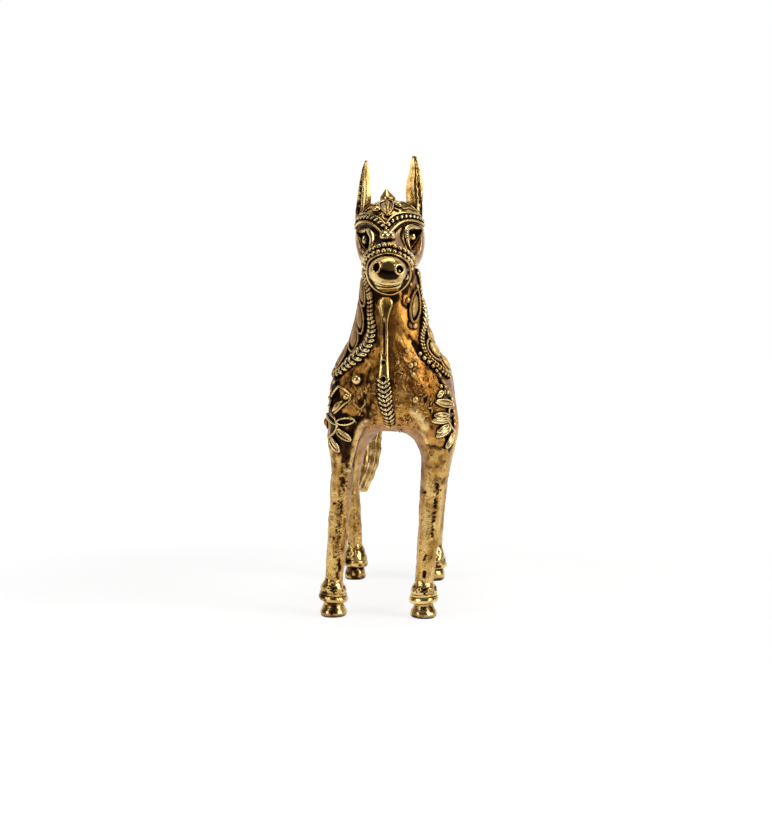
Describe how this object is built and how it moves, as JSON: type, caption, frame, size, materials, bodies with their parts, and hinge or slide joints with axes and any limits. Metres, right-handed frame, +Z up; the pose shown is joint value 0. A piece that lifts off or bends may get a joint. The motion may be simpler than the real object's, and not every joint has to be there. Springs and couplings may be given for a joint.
{
  "type": "brass horse figurine",
  "caption": "Standing cast brass horse with long neck, hollow upright ears, beaded bridle, roped reins, leaf mane panels, ringed fetlocks and a side-swept tail.",
  "frame": {"origin": "on the ground under the middle of the horse's box", "axes": "+Z up; the horse faces -Y, so +X is its own left side"},
  "size_m": [0.045, 0.1244, 0.1472],
  "materials": {
    "aged_brass": "antique brass, matte and ochre-brown with dark patina in the hollows",
    "polished_brass": "hand-polished brass with soft scratches",
    "relief_brass": "rubbed brass, bright on the crests and near black between them"
  },
  "bodies": {
    "root": {"torso": "aged_brass", "head": "polished_brass", "neck": "aged_brass", "front_thigh_left": "aged_brass", "front_shank_left": "aged_brass", "front_anklet_left": "polished_brass", "front_hoof_left": "polished_brass", "front_thigh_right": "aged_brass", "front_shank_right": "aged_brass", "front_anklet_right": "polished_brass", "front_hoof_right": "polished_brass", "rear_thigh_left": "aged_brass", "rear_shank_left": "aged_brass", "rear_anklet_left": "polished_brass", "rear_hoof_left": "polished_brass", "rear_thigh_right": "aged_brass", "rear_shank_right": "aged_brass", "rear_anklet_right": "polished_brass", "rear_hoof_right": "polished_brass", "ear_left": "polished_brass", "ear_right": "polished_brass", "topknot": "polished_brass", "brow_wire_upper": "relief_brass", "brow_rope": "relief_brass", "brow_wire_lower": "relief_brass", "forehead_leaf": "relief_brass", "forehead_drop_left": "polished_brass", "forehead_drop_right": "polished_brass", "nose_stud": "polished_brass", "eye_rim_left": "polished_brass", "eye_ball_left": "polished_brass", "eye_rim_right": "polished_brass", "eye_ball_right": "polished_brass", "noseband_beads_outer": "relief_brass", "noseband_beads_inner": "relief_brass", "nose_wire": "polished_brass", "breast_strap": "polished_brass", "breast_braid": "relief_brass", "rein_left": "relief_brass", "rein_right": "relief_brass", "mane_leaf_left_1": "aged_brass", "mane_leaf_left_2": "aged_brass", "mane_leaf_left_3": "aged_brass", "mane_leaf_left_4": "aged_brass", "mane_leaf_right_1": "aged_brass", "mane_leaf_right_2": "aged_brass", "mane_leaf_right_3": "aged_brass", "mane_leaf_right_4": "aged_brass", "mane_crest": "relief_brass", "chest_stud": "polished_brass", "shoulder_loop": "relief_brass", "shoulder_spray_left": "relief_brass", "shoulder_boss_left": "polished_brass", "shoulder_spray_right": "relief_brass", "shoulder_boss_right": "polished_brass", "tail": "relief_brass", "saddle_cloth": "aged_brass", "saddle_rope": "relief_brass"}
  },
  "joints": []
}
